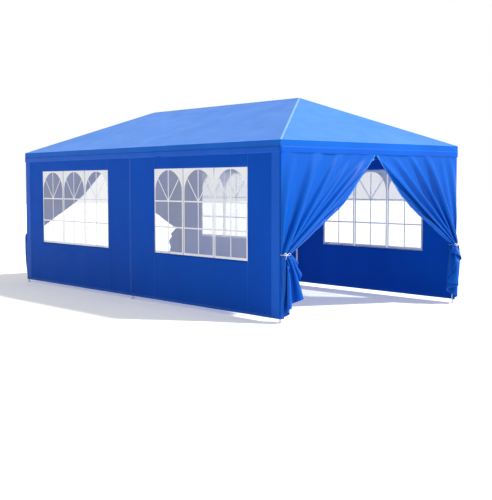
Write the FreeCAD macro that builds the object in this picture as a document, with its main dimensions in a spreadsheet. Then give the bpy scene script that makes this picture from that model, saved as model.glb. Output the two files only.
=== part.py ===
"""Party tent canopy, 3 m by 6 m: push-fit steel frame, hip roof cover, window walls and tied-back doors.

Millimetres, +Z up. The origin is on the ground, under the middle of the tent.
+X runs along the length, towards the right-hand door. -Y is the front long side.
"""
import FreeCAD, Part
import math
import os

import Sketcher
from FreeCAD import Placement, Rotation, Vector

SIZES = {
    # the covered tent
    "tent_length": 6000,
    "tent_width": 3000,
    "eave_height": 2000,
    "roof_rise": 620,
    "ridge_length": 3300,
    "fabric_thickness": 2,
    "valance_height": 140,
    # the frame's tubes
    "frame_drop": 25,
    "hub_drop": 30,
    "beam_diameter": 25,
    "leg_diameter": 28,
    "tube_wall": 0.9,
    "sleeve_wall": 1.4,
    "slip_gap": 0.3,
    "socket_start": 46,
    "socket_depth": 52,
    "leg_split": 1020,
    "leg_lap": 90,
    # the snap button in each leg
    "button_radius": 4,
    "button_gap": 0.3,
    "button_proud": 3.5,
    "button_head_radius": 6,
    "button_head_thickness": 1.5,
    "button_head_gap": 1,
    "button_lap_share": 0.5,
    # the foot
    "foot_radius": 36,
    "foot_thickness": 3,
    "foot_plug_height": 35,
    "foot_plug_gap": 0.1,
    "foot_rest_gap": 0.3,
    "peg_hole_radius": 4,
    "peg_hole_spacing": 48,
    # the side walls and their windows
    "wall_gap": 2,
    "wall_drop": 15,
    "wall_end_gap": 8,
    "wall_seam_gap": 1,
    "wall_hem_gap": 45,
    "window_width": 1870,
    "window_height": 1063,
    "window_sill": 650,
    "window_gap": 0.3,
    "film_thickness": 1,
    # the door curtains, tied back to the corner legs
    "door_seam_gap": 3,
    "tie_height": 750,
    "tie_cord": 4,
    "tie_slack": 1,
    "tie_gap": 2,
    "neck_width": 90,
    "neck_depth": 55,
    "neck_band": 20,
    "fold_depth": 90,
    "skirt_width": 250,
    "skirt_depth": 90,
    # the door's zip slider and its pull
    "slider_width": 9,
    "slider_length": 14,
    "slider_thickness": 6,
    "slider_gap": 1,
    "slider_start": 60,
    "ear_thickness": 1.2,
    "ear_length": 4,
    "ear_proud": 4,
    "pin_radius": 0.8,
    "pin_proud": 2.3,
    "pin_rise": 3,
    "pin_gap": 0.05,
    "pull_side_gap": 0.2,
    "barrel_radius": 1.8,
    "pull_width": 5,
    "pull_length": 30,
    "pull_thickness": 1.5,
}

# The frame stands in from the cover by the half leg, the tie round it, the wall and the valance.
FRAME_INSET = ("=leg_diameter / 2 + tie_slack + tie_cord + tie_gap"
               " + 2 * fabric_thickness + wall_gap")

LEGS = {
    "front_left": (-1, -1),
    "front_middle": (0, -1),
    "front_right": (1, -1),
    "rear_left": (-1, 1),
    "rear_middle": (0, 1),
    "rear_right": (1, 1),
}
ENDS = {"left": -1, "right": 1}
SIDES = {"front": -1, "rear": 1}

# The free edge of a tied-back door: height as a share of the way from the tie to the valance's
# lower edge, the share of the half width that the cloth still covers, and the share of the
# folds' full depth.
DOOR_EDGE = (
    (0.53, 0.68, 1.0),
    (0.23, 0.32, 1.0),
)

document = FreeCAD.newDocument("party_tent")
sheet = document.addObject("Spreadsheet::Sheet", "Sizes")
for row, (alias, value) in enumerate([*SIZES.items(), ("frame_inset", FRAME_INSET)], start=1):
    sheet.set(f"A{row}", alias)
    sheet.set(f"B{row}", str(value))
    sheet.setAlias(f"B{row}", alias)
document.recompute()

sub_parts = []


def size(alias):
    """One driving dimension, read back from the sheet."""
    return float(sheet.get(alias))


def keep(feature, label):
    """Gives a finished sub-part its name and puts it on the list of pieces."""
    feature.Label = label
    sub_parts.append(feature)
    return feature


# ---------------------------------------------------------------- places in the frame

frame_half_length = size("tent_length") / 2 - size("frame_inset")
frame_half_width = size("tent_width") / 2 - size("frame_inset")
frame_height = size("eave_height") - size("frame_drop")
peak_height = size("eave_height") + size("roof_rise")
hub_height = peak_height - size("hub_drop")
half_ridge = size("ridge_length") / 2
valance_bottom = size("eave_height") - size("valance_height")
wall_depth = 2 * size("fabric_thickness") + size("wall_gap")
wall_top = size("eave_height") - size("wall_drop")

SLEEVE_RADIUS = "(Sizes.{0} / 2 + Sizes.slip_gap + Sizes.sleeve_wall)"
SOCKET_RADIUS = "(Sizes.{0} / 2 + Sizes.slip_gap)"


def leg_node(name):
    """The point where a leg's axis meets the eave tubes' axes."""
    x_sign, y_sign = LEGS[name]
    return Vector(x_sign * frame_half_length, y_sign * frame_half_width, frame_height)


def hub_node(end):
    """The point where the rafters of one end meet the ridge tube."""
    return Vector(ENDS[end] * half_ridge, 0, hub_height)


def turned_to(direction):
    """The rotation that takes +Z to a direction."""
    return Rotation(Vector(0, 0, 1), direction)


# ---------------------------------------------------------------- tubes

def cylinder(name, radius, height, placement):
    """A Part cylinder along its own +Z, with both sizes bound to the sheet."""
    solid = document.addObject("Part::Cylinder", name)
    solid.setExpression("Radius", radius)
    solid.setExpression("Height", height)
    solid.Placement = placement
    return solid


def cut(name, base, tool):
    """What is left of base when tool is taken away."""
    result = document.addObject("Part::Cut", name)
    result.Base = base
    result.Tool = tool
    return result


def fuse(name, shapes):
    """Several shapes joined into one, whose faces stay as they are so that any angle holds up."""
    result = document.addObject("Part::MultiFuse", name)
    result.Shapes = shapes
    result.Refine = False
    return result


def hollow_tube(name, diameter, length):
    """A tube along +Z from the origin. Both arguments are expressions over the sheet."""
    still = Placement()
    outside = cylinder(name + "_outside", f"({diameter}) / 2", length, still)
    inside = cylinder(name + "_inside", f"({diameter}) / 2 - Sizes.tube_wall", length, still)
    return cut(name, outside, inside)


def frame_tube(name, start, end, length):
    """A beam tube between the sockets of two frame nodes."""
    direction = (end - start).normalize()
    tube = hollow_tube(name, "Sizes.beam_diameter", length)
    tube.Placement = Placement(start + direction * size("socket_start"), turned_to(direction))
    return tube


def drilled_leg(name, diameter, length, hole_place):
    """A leg tube with the hole that its snap button comes out of, on its own +Y side."""
    tube = hollow_tube(name + "_tube", diameter, length)
    hole = cylinder(name + "_hole", "Sizes.button_radius + Sizes.button_gap", diameter,
                    Placement(Vector(0, 0, 0), Rotation(Vector(1, 0, 0), -90)))
    hole.setExpression("Placement.Base.z", hole_place)
    return cut(name, tube, hole)


def inward_turn(name):
    """Turns a leg about its axis so that its button faces the inside of the tent."""
    y_sign = LEGS[name][1]
    return Rotation(Vector(0, 0, 1), 0 if y_sign < 0 else 180)


BUTTON_PLACE = "Sizes.leg_lap * Sizes.button_lap_share"
LOWER_LEG_BOTTOM = size("foot_thickness") + size("foot_rest_gap")

for leg_name in LEGS:
    node = leg_node(leg_name)
    upper = drilled_leg(
        f"upper_leg_{leg_name}", "Sizes.leg_diameter",
        "Sizes.eave_height - Sizes.frame_drop - Sizes.socket_start - Sizes.leg_split",
        BUTTON_PLACE)
    upper.Placement = Placement(Vector(node.x, node.y, size("leg_split")), inward_turn(leg_name))
    keep(upper, f"upper_leg_{leg_name}")
    inner_diameter = "Sizes.leg_diameter - 2 * Sizes.tube_wall - 2 * Sizes.slip_gap"
    lower = drilled_leg(
        f"lower_leg_{leg_name}", inner_diameter,
        "Sizes.leg_split + Sizes.leg_lap - Sizes.foot_thickness - Sizes.foot_rest_gap",
        f"Sizes.leg_split - Sizes.foot_thickness - Sizes.foot_rest_gap + {BUTTON_PLACE}")
    lower.Placement = Placement(Vector(node.x, node.y, LOWER_LEG_BOTTOM), inward_turn(leg_name))
    keep(lower, f"lower_leg_{leg_name}")

BAY_TUBE = "Sizes.tent_length / 2 - Sizes.frame_inset - 2 * Sizes.socket_start"
for side in SIDES:
    pair = []
    for end in ENDS:
        pair.append(frame_tube(f"{side}_{end}_eave_tube", leg_node(f"{side}_{end}"),
                               leg_node(f"{side}_middle"), BAY_TUBE))
    both = document.addObject("Part::Compound", f"eave_tubes_{side}")
    both.Links = pair
    keep(both, f"eave_tubes_{side}")
for end in ENDS:
    across = frame_tube(f"eave_tube_{end}_end", leg_node(f"front_{end}"), leg_node(f"rear_{end}"),
                        "Sizes.tent_width - 2 * Sizes.frame_inset - 2 * Sizes.socket_start")
    keep(across, f"eave_tube_{end}_end")

RAFTER_RISE = "(Sizes.roof_rise - Sizes.hub_drop + Sizes.frame_drop)"
RAFTER_REACH = "(Sizes.tent_width / 2 - Sizes.frame_inset)"
HIP_RUN = "(Sizes.tent_length / 2 - Sizes.frame_inset - Sizes.ridge_length / 2)"
MIDDLE_RUN = "(Sizes.ridge_length / 2)"
RAFTER_LENGTH = f"sqrt({{0}} ^ 2 + {RAFTER_REACH} ^ 2 + {RAFTER_RISE} ^ 2) - 2 * Sizes.socket_start"
for end in ENDS:
    for side in SIDES:
        hip = frame_tube(f"hip_rafter_{side}_{end}", leg_node(f"{side}_{end}"), hub_node(end),
                         RAFTER_LENGTH.format(HIP_RUN))
        keep(hip, f"hip_rafter_{side}_{end}")
        middle = frame_tube(f"middle_rafter_{side}_{end}", leg_node(f"{side}_middle"), hub_node(end),
                            RAFTER_LENGTH.format(MIDDLE_RUN))
        keep(middle, f"middle_rafter_{side}_{end}")
ridge = frame_tube("ridge_tube", hub_node("left"), hub_node("right"),
                   "Sizes.ridge_length - 2 * Sizes.socket_start")
keep(ridge, "ridge_tube")


# ---------------------------------------------------------------- connectors

def connector(name, node, arms):
    """Welded sleeves that all start at one point, each open at its outer end.

    arms is a list of (direction, name of the diameter that the sleeve takes).
    """
    reach = "Sizes.socket_start + Sizes.socket_depth"
    sleeves = []
    sockets = []
    for index, (direction, diameter) in enumerate(arms):
        turn = turned_to(direction)
        sleeves.append(cylinder(f"{name}_sleeve_{index}", SLEEVE_RADIUS.format(diameter), reach,
                                Placement(Vector(), turn)))
        root = direction.normalize() * size("socket_start")
        sockets.append(cylinder(f"{name}_socket_{index}", SOCKET_RADIUS.format(diameter),
                                "Sizes.socket_depth", Placement(root, turn)))
    body = cut(name, fuse(name + "_sleeves", sleeves), fuse(name + "_sockets", sockets))
    body.Placement = Placement(node, Rotation())
    return keep(body, name)


DOWN = Vector(0, 0, -1)
for end, x_sign in ENDS.items():
    hub_arms = [(Vector(-x_sign, 0, 0), "beam_diameter")]
    for side, y_sign in SIDES.items():
        corner = leg_node(f"{side}_{end}")
        connector(f"corner_connector_{side}_{end}", corner, [
            (Vector(DOWN), "leg_diameter"),
            (Vector(-x_sign, 0, 0), "beam_diameter"),
            (Vector(0, -y_sign, 0), "beam_diameter"),
            (hub_node(end) - corner, "beam_diameter"),
        ])
        hub_arms.append((corner - hub_node(end), "beam_diameter"))
        hub_arms.append((leg_node(f"{side}_middle") - hub_node(end), "beam_diameter"))
    connector(f"peak_hub_{end}", hub_node(end), hub_arms)
for side in SIDES:
    middle_leg = leg_node(f"{side}_middle")
    connector(f"side_connector_{side}", middle_leg, [
        (Vector(DOWN), "leg_diameter"),
        (Vector(1, 0, 0), "beam_diameter"),
        (Vector(-1, 0, 0), "beam_diameter"),
        (hub_node("left") - middle_leg, "beam_diameter"),
        (hub_node("right") - middle_leg, "beam_diameter"),
    ])


# ---------------------------------------------------------------- bodies with sketches

def sketch_on(body, role, name):
    """An empty sketch on one of a body's own origin planes."""
    sketch = body.newObject("Sketcher::SketchObject", name)
    plane = [item for item in body.Origin.OriginFeatures if item.Role == role][0]
    sketch.AttachmentSupport = [(plane, "")]
    sketch.MapMode = "FlatFace"
    return sketch


def add_circle(sketch, radius, x_place=None):
    """A circle on the sketch's horizontal axis, its radius and place bound to the sheet."""
    edge = sketch.addGeometry(Part.Circle(Vector(), Vector(0, 0, 1), 10), False)
    sketch.addConstraint(Sketcher.Constraint("Radius", edge, 10))
    sketch.setExpression(f"Constraints[{sketch.ConstraintCount - 1}]", radius)
    if x_place is None:
        sketch.addConstraint(Sketcher.Constraint("Coincident", edge, 3, -1, 1))
        return
    sketch.addConstraint(Sketcher.Constraint("PointOnObject", edge, 3, -1))
    sketch.addConstraint(Sketcher.Constraint("DistanceX", -1, 1, edge, 3, 10))
    sketch.setExpression(f"Constraints[{sketch.ConstraintCount - 1}]", x_place)


def pad(body, name, sketch, length, backwards=False):
    """A pad of a sketch."""
    feature = body.newObject("PartDesign::Pad", name)
    feature.Profile = sketch
    feature.Reversed = backwards
    feature.setExpression("Length", length)
    return feature


def foot_plate(leg_name):
    """A round foot plate with a plug that turns inside the leg, and two peg holes."""
    body = document.addObject("PartDesign::Body", f"foot_plate_{leg_name}")
    disc = sketch_on(body, "XY_Plane", f"foot_disc_{leg_name}")
    add_circle(disc, "Sizes.foot_radius")
    pad(body, f"foot_disc_pad_{leg_name}", disc, "Sizes.foot_thickness")
    plug = sketch_on(body, "XY_Plane", f"foot_plug_{leg_name}")
    add_circle(plug, "Sizes.leg_diameter / 2 - 2 * Sizes.tube_wall - Sizes.slip_gap"
                     " - Sizes.foot_plug_gap")
    pad(body, f"foot_plug_pad_{leg_name}", plug, "Sizes.foot_thickness + Sizes.foot_plug_height")
    holes = sketch_on(body, "XY_Plane", f"peg_holes_{leg_name}")
    add_circle(holes, "Sizes.peg_hole_radius", "Sizes.peg_hole_spacing / 2")
    pegs = body.newObject("PartDesign::Pocket", f"peg_pocket_{leg_name}")
    pegs.Profile = holes
    pegs.Reversed = True
    pegs.setExpression("Length", "Sizes.foot_thickness")
    document.recompute()
    pair = body.newObject("PartDesign::PolarPattern", f"peg_pair_{leg_name}")
    pair.Originals = [pegs]
    pair.Axis = (holes, ["N_Axis"])
    pair.Angle = 360
    pair.Occurrences = 2
    body.Tip = pair
    node = leg_node(leg_name)
    body.Placement = Placement(Vector(node.x, node.y, 0), Rotation())
    return keep(body, f"foot_plate_{leg_name}")


def leg_button(leg_name):
    """A snap button: a round pin with a head inside the leg, along its own +Y."""
    body = document.addObject("PartDesign::Body", f"leg_button_{leg_name}")
    head_front = ("sqrt((Sizes.leg_diameter / 2 - 2 * Sizes.tube_wall - Sizes.slip_gap) ^ 2"
                  " - Sizes.button_head_radius ^ 2) - Sizes.button_head_gap")
    head = sketch_on(body, "XY_Plane", f"button_head_{leg_name}")
    add_circle(head, "Sizes.button_head_radius")
    pad(body, f"button_head_pad_{leg_name}", head, "Sizes.button_head_thickness")
    pin = sketch_on(body, "XY_Plane", f"button_pin_{leg_name}")
    add_circle(pin, "Sizes.button_radius")
    pin_pad = pad(body, f"button_pin_pad_{leg_name}", pin,
                  f"Sizes.leg_diameter / 2 + Sizes.button_proud - ({head_front})"
                  " + Sizes.button_head_thickness")
    document.recompute()
    tip_edges = [f"Edge{number}" for number, edge in enumerate(pin_pad.Shape.Edges, start=1)
                 if edge.BoundBox.ZMin > pin_pad.Shape.BoundBox.ZMax - 0.01]
    dome = body.newObject("PartDesign::Fillet", f"button_dome_{leg_name}")
    dome.Base = (pin_pad, tip_edges)
    dome.setExpression("Radius", "Sizes.button_proud * 0.6")
    body.Tip = dome
    node = leg_node(leg_name)
    y_sign = -LEGS[leg_name][1]
    inner_radius = size("leg_diameter") / 2 - 2 * size("tube_wall") - size("slip_gap")
    front = math.sqrt(inner_radius ** 2 - size("button_head_radius") ** 2) - size("button_head_gap")
    back = front - size("button_head_thickness")
    height = size("leg_split") + size("leg_lap") * size("button_lap_share")
    body.Placement = Placement(Vector(node.x, node.y + y_sign * back, height),
                               turned_to(Vector(0, y_sign, 0)))
    return keep(body, f"leg_button_{leg_name}")


for leg_name in LEGS:
    foot_plate(leg_name)
    leg_button(leg_name)


# ---------------------------------------------------------------- walls and windows

def add_rectangle(sketch, x_low, x_high, y_low, y_high):
    """A rectangle whose four sides are bound to expressions over the sheet."""
    corners = [Vector(1, 1, 0), Vector(9, 1, 0), Vector(9, 9, 0), Vector(1, 9, 0)]
    first = sketch.GeometryCount
    for index, corner in enumerate(corners):
        sketch.addGeometry(Part.LineSegment(corner, corners[(index + 1) % 4]), False)
    for index in range(4):
        sketch.addConstraint(Sketcher.Constraint("Coincident", first + index, 2,
                                                 first + (index + 1) % 4, 1))
        sort = "Horizontal" if index % 2 == 0 else "Vertical"
        sketch.addConstraint(Sketcher.Constraint(sort, first + index))
    for edge, sort, place in ((first, "DistanceX", x_low), (first, "DistanceY", y_low),
                              (first + 2, "DistanceX", x_high), (first + 2, "DistanceY", y_high)):
        sketch.addConstraint(Sketcher.Constraint(sort, -1, 1, edge, 1, 5))
        sketch.setExpression(f"Constraints[{sketch.ConstraintCount - 1}]", place)


BAY_MIDDLE = "Sizes.tent_length / 4"


def window_wall(side, end):
    """One bay of the long wall, hanging just inside the valance, with its window cut out."""
    body = document.addObject("PartDesign::Body", f"window_wall_{side}_{end}")
    outline = sketch_on(body, "XZ_Plane", f"wall_outline_{side}_{end}")
    add_rectangle(outline, "Sizes.wall_seam_gap", "Sizes.tent_length / 2 - Sizes.wall_end_gap",
                  "Sizes.wall_hem_gap", "Sizes.eave_height - Sizes.wall_drop")
    add_rectangle(outline, f"{BAY_MIDDLE} - Sizes.window_width / 2",
                  f"{BAY_MIDDLE} + Sizes.window_width / 2",
                  "Sizes.window_sill", "Sizes.window_sill + Sizes.window_height")
    pad(body, f"wall_pad_{side}_{end}", outline, "Sizes.fabric_thickness")
    outer_face = size("tent_width") / 2 - size("fabric_thickness") - size("wall_gap")
    place_bay(body, side, end, outer_face)
    return keep(body, f"window_wall_{side}_{end}")


def place_bay(body, side, end, outer_face):
    """Puts a piece drawn for the front right bay into its own bay."""
    if (side, end) in (("front", "right"), ("rear", "left")):
        turn = Rotation(Vector(0, 0, 1), 0 if side == "front" else 180)
        offset = Vector(0, SIDES[side] * (outer_face - size("fabric_thickness")), 0)
    else:
        turn = Rotation(Vector(0, 0, 1), 180 if side == "front" else 0)
        offset = Vector(0, SIDES[side] * outer_face, 0)
    body.Placement = Placement(offset, turn)


def window_film(side, end):
    """The clear film that fills one window, in the middle of the wall's thickness."""
    film = document.addObject("Part::Box", f"window_film_{side}_{end}")
    film.setExpression("Length", "Sizes.window_width - 2 * Sizes.window_gap")
    film.setExpression("Width", "Sizes.film_thickness")
    film.setExpression("Height", "Sizes.window_height - 2 * Sizes.window_gap")
    middle = ENDS[end] * size("tent_length") / 4
    outer_face = size("tent_width") / 2 - size("fabric_thickness") - size("wall_gap")
    centre = SIDES[side] * (outer_face - size("fabric_thickness") / 2)
    film.Placement = Placement(
        Vector(middle - size("window_width") / 2 + size("window_gap"),
               centre - size("film_thickness") / 2,
               size("window_sill") + size("window_gap")), Rotation())
    return film


films = []
for side in SIDES:
    for end in ENDS:
        window_wall(side, end)
        films.append(window_film(side, end))
window_films = document.addObject("Part::Compound", "window_films")
window_films.Links = films
keep(window_films, "window_films")


# ---------------------------------------------------------------- roof cover

def feature_of(shape, label):
    """A sub-part whose shape is worked out from the sheet's values."""
    feature = document.addObject("Part::Feature", label)
    feature.Shape = shape
    return keep(feature, label)


def sheet_solid(corners, thickness):
    """A flat panel hanging a thickness straight down from its upper face."""
    outline = Part.makePolygon(corners + corners[:1])
    return Part.Face(outline).extrude(Vector(0, 0, -thickness))


def roof_cover():
    """Four sewn slopes and the valance that hangs from their edges."""
    half_length = size("tent_length") / 2
    half_width = size("tent_width") / 2
    cloth = size("fabric_thickness")
    eave = size("eave_height")
    panels = []
    for side in SIDES.values():
        panels.append(sheet_solid([
            Vector(-half_length, side * half_width, eave),
            Vector(half_length, side * half_width, eave),
            Vector(half_ridge, 0, peak_height),
            Vector(-half_ridge, 0, peak_height),
        ], cloth))
        near_edge = min(side * half_width, side * (half_width - cloth))
        panels.append(Part.makeBox(2 * half_length, cloth, size("valance_height") - cloth,
                                   Vector(-half_length, near_edge, valance_bottom)))
    for end in ENDS.values():
        panels.append(sheet_solid([
            Vector(end * half_length, -half_width, eave),
            Vector(end * half_length, half_width, eave),
            Vector(end * half_ridge, 0, peak_height),
        ], cloth))
        near_edge = min(end * half_length, end * (half_length - cloth))
        panels.append(Part.makeBox(cloth, 2 * (half_width - cloth), size("valance_height") - cloth,
                                   Vector(near_edge, cloth - half_width, valance_bottom)))
    return Part.makeCompound(panels)


feature_of(roof_cover(), "roof_cover")


# ---------------------------------------------------------------- doors

door_inner_face = size("tent_length") / 2 - wall_depth - size("wall_gap")
door_outer_face = door_inner_face + size("fabric_thickness")
door_side_edge = size("tent_width") / 2 - wall_depth - size("wall_gap")
neck_outer_edge = -frame_half_width - size("leg_diameter") / 2
neck_inner_edge = neck_outer_edge + size("neck_width")


def level(x_sign, y_sign, height, depth, low_edge, high_edge):
    """A level rectangle through a door's folds, mirrored to its own corner of the tent."""
    near = door_inner_face
    far = near + depth
    corners = [Vector(near, low_edge), Vector(far, low_edge), Vector(far, high_edge),
               Vector(near, high_edge)]
    points = [Vector(x_sign * corner.x, -y_sign * corner.y, height) for corner in corners]
    return Part.makePolygon(points + points[:1])


def door_curtain(x_sign, y_sign):
    """Half a door: a fan of folds from the top rail to the tie, and a skirt below it."""
    cloth = size("fabric_thickness")
    tie = size("tie_height")
    outlines = []

    def add_level(height, depth, inner_edge, outer_edge=-door_side_edge):
        outlines.append(level(x_sign, y_sign, height, depth, outer_edge, inner_edge))

    add_level(wall_top, cloth, -size("door_seam_gap"))
    add_level(valance_bottom, cloth, -size("door_seam_gap"))
    for height_share, cover_share, depth_share in DOOR_EDGE:
        add_level(tie + height_share * (valance_bottom - tie), depth_share * size("fold_depth"),
                  -door_side_edge * (1 - cover_share))
    for height in (tie + size("neck_band") / 2, tie - size("neck_band") / 2):
        add_level(height, size("neck_depth"), neck_inner_edge, neck_outer_edge)
    add_level(size("wall_hem_gap"), size("skirt_depth"), size("skirt_width") - door_side_edge)
    return Part.makeLoft(outlines, True, True)


def tie_cord(x_sign, y_sign):
    """The cord that goes once round the door's neck and the corner leg."""
    cord = size("tie_cord")
    slack = size("tie_slack")
    node = leg_node("front_right")
    low_x = node.x - size("leg_diameter") / 2 - slack
    high_x = door_inner_face + size("neck_depth") + slack
    low_y = node.y - size("leg_diameter") / 2 - slack
    high_y = neck_inner_edge + slack
    inside = Part.makeBox(high_x - low_x, high_y - low_y, cord, Vector(low_x, low_y, 0))
    outside = Part.makeBox(high_x - low_x + 2 * cord, high_y - low_y + 2 * cord, cord,
                           Vector(low_x - cord, low_y - cord, 0))
    loop = outside.cut(inside)
    loop.translate(Vector(0, 0, size("tie_height") - cord / 2))
    if x_sign < 0:
        loop = loop.mirror(Vector(), Vector(1, 0, 0))
    if y_sign > 0:
        loop = loop.mirror(Vector(), Vector(0, 1, 0))
    return loop


ties = []
for end, x_sign in ENDS.items():
    for side, y_sign in SIDES.items():
        feature_of(door_curtain(x_sign, y_sign), f"door_curtain_{end}_{side}")
        ties.append(tie_cord(x_sign, y_sign))
feature_of(Part.makeCompound(ties), "door_ties")


# ---------------------------------------------------------------- zips

def free_edge_line():
    """Where the front door's upper free edge starts and which way it runs, in the YZ plane."""
    height_share, cover_share, _ = DOOR_EDGE[0]
    tie = size("tie_height")
    start = Vector(0, -size("door_seam_gap"), valance_bottom)
    end = Vector(0, -door_side_edge * (1 - cover_share), tie + height_share * (valance_bottom - tie))
    return start, (end - start).normalize()


def slider_place():
    """The middle of the right-hand door's zip slider, and the way that it runs."""
    start, along = free_edge_line()
    outward = Vector(0, -along.z, along.y)
    middle = start + along * size("slider_start")
    middle += outward * (size("slider_gap") + size("slider_width") / 2)
    middle += Vector((door_inner_face + door_outer_face) / 2, 0, 0)
    return middle, along


def block(name, x_size, y_size, z_size, x_place, y_place, z_place):
    """A box with its six sizes and places bound to the sheet; y_place is its middle."""
    box = document.addObject("Part::Box", name)
    box.setExpression("Length", x_size)
    box.setExpression("Width", y_size)
    box.setExpression("Height", z_size)
    box.setExpression("Placement.Base.x", x_place)
    box.setExpression("Placement.Base.y", f"{y_place} - ({y_size}) / 2")
    box.setExpression("Placement.Base.z", z_place)
    return box


def cross_pin(name, radius, length):
    """A cylinder along Y where the pull hangs on the slider."""
    pin = cylinder(name, radius, length, Placement(Vector(), Rotation(Vector(1, 0, 0), -90)))
    pin.setExpression("Placement.Base.x", "Sizes.slider_thickness / 2 + Sizes.pin_proud")
    pin.setExpression("Placement.Base.y", f"-({length}) / 2")
    pin.setExpression("Placement.Base.z", "Sizes.pin_rise")
    return pin


def zip_slider(name):
    """The slider's body with two ears and the pin between them, +Z along its travel."""
    ear_place = "(Sizes.pull_width + Sizes.ear_thickness) / 2 + Sizes.pull_side_gap"
    ear_bottom = "Sizes.pin_rise - Sizes.ear_length / 2"
    shapes = [block(name + "_body", "Sizes.slider_thickness", "Sizes.slider_width",
                    "Sizes.slider_length", "-Sizes.slider_thickness / 2", "0",
                    "-Sizes.slider_length / 2")]
    for sign in ("", "-"):
        shapes.append(block(f"{name}_ear_{len(shapes)}", "Sizes.ear_proud", "Sizes.ear_thickness",
                            "Sizes.ear_length", "Sizes.slider_thickness / 2",
                            f"{sign}({ear_place})", ear_bottom))
    shapes.append(cross_pin(name + "_pin", "Sizes.pin_radius",
                            "Sizes.pull_width + 2 * Sizes.pull_side_gap + Sizes.ear_thickness"))
    return fuse(name, shapes)


def zip_pull(name):
    """A flat pull that hangs from a barrel round the slider's pin."""
    barrel = cross_pin(name + "_barrel", "Sizes.barrel_radius", "Sizes.pull_width")
    plate = block(name + "_plate", "Sizes.pull_thickness", "Sizes.pull_width", "Sizes.pull_length",
                  "Sizes.slider_thickness / 2 + Sizes.pin_proud - Sizes.pull_thickness / 2", "0",
                  "Sizes.pin_rise - Sizes.pull_length")
    bore = cross_pin(name + "_bore", "Sizes.pin_radius + Sizes.pin_gap", "Sizes.pull_width")
    return cut(name, fuse(name + "_whole", [barrel, plate]), bore)


slider_middle, edge_direction = slider_place()
for end, x_sign in ENDS.items():
    turn = turned_to(-edge_direction)
    if x_sign < 0:
        turn = turn * Rotation(Vector(0, 0, 1), 180)
    place = Placement(Vector(x_sign * slider_middle.x, slider_middle.y, slider_middle.z), turn)
    for piece in (zip_slider(f"zip_slider_{end}"), zip_pull(f"zip_pull_{end}")):
        piece.Placement = place
        keep(piece, piece.Name)

document.recompute()
for item in document.Objects:
    if "Invalid" in item.State or "Error" in item.State:
        raise RuntimeError(f"{item.Label} did not build: {item.State}")
os.makedirs("parts", exist_ok=True)
for item in sub_parts:
    if item.Shape.isNull() or not item.Shape.isValid():
        raise RuntimeError(f"{item.Label} has no valid shape")
    item.Shape.exportStep(f"parts/{item.Label}.step")
print(len(sub_parts), "sub-parts")
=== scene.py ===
"""Party tent canopy: cloth, windows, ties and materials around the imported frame. Metres, +Z up."""
import math

import bmesh
import bpy
import numpy as np
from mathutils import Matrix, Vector

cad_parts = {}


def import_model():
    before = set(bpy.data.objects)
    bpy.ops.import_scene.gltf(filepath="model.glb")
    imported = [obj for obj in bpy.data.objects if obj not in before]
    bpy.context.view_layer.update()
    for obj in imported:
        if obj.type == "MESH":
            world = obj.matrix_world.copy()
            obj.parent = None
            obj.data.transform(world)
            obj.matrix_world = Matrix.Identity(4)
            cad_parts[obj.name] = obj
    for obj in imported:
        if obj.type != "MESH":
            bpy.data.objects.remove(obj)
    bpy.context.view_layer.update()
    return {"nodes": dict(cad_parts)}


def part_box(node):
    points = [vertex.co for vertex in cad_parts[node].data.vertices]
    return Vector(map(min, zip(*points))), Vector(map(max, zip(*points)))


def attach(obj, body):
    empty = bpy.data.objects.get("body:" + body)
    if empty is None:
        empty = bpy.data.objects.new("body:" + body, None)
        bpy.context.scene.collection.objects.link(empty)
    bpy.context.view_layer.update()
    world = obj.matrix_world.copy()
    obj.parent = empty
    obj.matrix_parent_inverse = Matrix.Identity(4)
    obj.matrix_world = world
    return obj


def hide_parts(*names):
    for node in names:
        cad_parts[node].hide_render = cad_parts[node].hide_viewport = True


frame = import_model()

ENDS = {"left": -1, "right": 1}
SIDES = {"front": -1, "rear": 1}
BODY = "frame"

roof_low, roof_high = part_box("roof_cover")
HALF_LENGTH = roof_high.x
HALF_WIDTH = roof_high.y
PEAK = roof_high.z
VALANCE_BOTTOM = roof_low.z
VALANCE_DROP = 0.14
EAVE = VALANCE_BOTTOM + VALANCE_DROP
HALF_RIDGE = 1.65
CLOTH = 0.0012
wall_low, wall_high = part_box("window_wall_front_right")
film_low, film_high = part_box("window_films")
curtain_low, curtain_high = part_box("door_curtain_right_front")
leg_low, leg_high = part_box("upper_leg_front_right")
LEG_RADIUS = (leg_high.x - leg_low.x) / 2
LEG_X = (leg_low.x + leg_high.x) / 2
LEG_Y = -(leg_low.y + leg_high.y) / 2
tie_low, tie_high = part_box("door_ties")
TIE_HEIGHT = (tie_low.z + tie_high.z) / 2
WINDOW_WIDTH = 1.87
WINDOW_MIDDLE = HALF_LENGTH / 2


# ---------------------------------------------------------------- materials

def principled(name, colour, roughness, **settings):
    """A material with one Principled shader, and its constants set on the shader's own sockets."""
    material = bpy.data.materials.new(name)
    material.use_nodes = True
    shader = material.node_tree.nodes["Principled BSDF"]
    shader.inputs["Base Color"].default_value = (*colour, 1)
    shader.inputs["Roughness"].default_value = roughness
    for socket, value in settings.items():
        shader.inputs[socket.replace("_", " ")].default_value = value
    return material, material.node_tree, shader


def object_noise(tree, scale, detail, stretch=(1, 1, 1)):
    """Noise over the object's own coordinates."""
    place = tree.nodes.new("ShaderNodeTexCoord")
    mapping = tree.nodes.new("ShaderNodeMapping")
    mapping.inputs["Scale"].default_value = stretch
    noise = tree.nodes.new("ShaderNodeTexNoise")
    noise.inputs["Scale"].default_value = scale
    noise.inputs["Detail"].default_value = detail
    tree.links.new(place.outputs["Object"], mapping.inputs["Vector"])
    tree.links.new(mapping.outputs["Vector"], noise.inputs["Vector"])
    return noise


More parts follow.
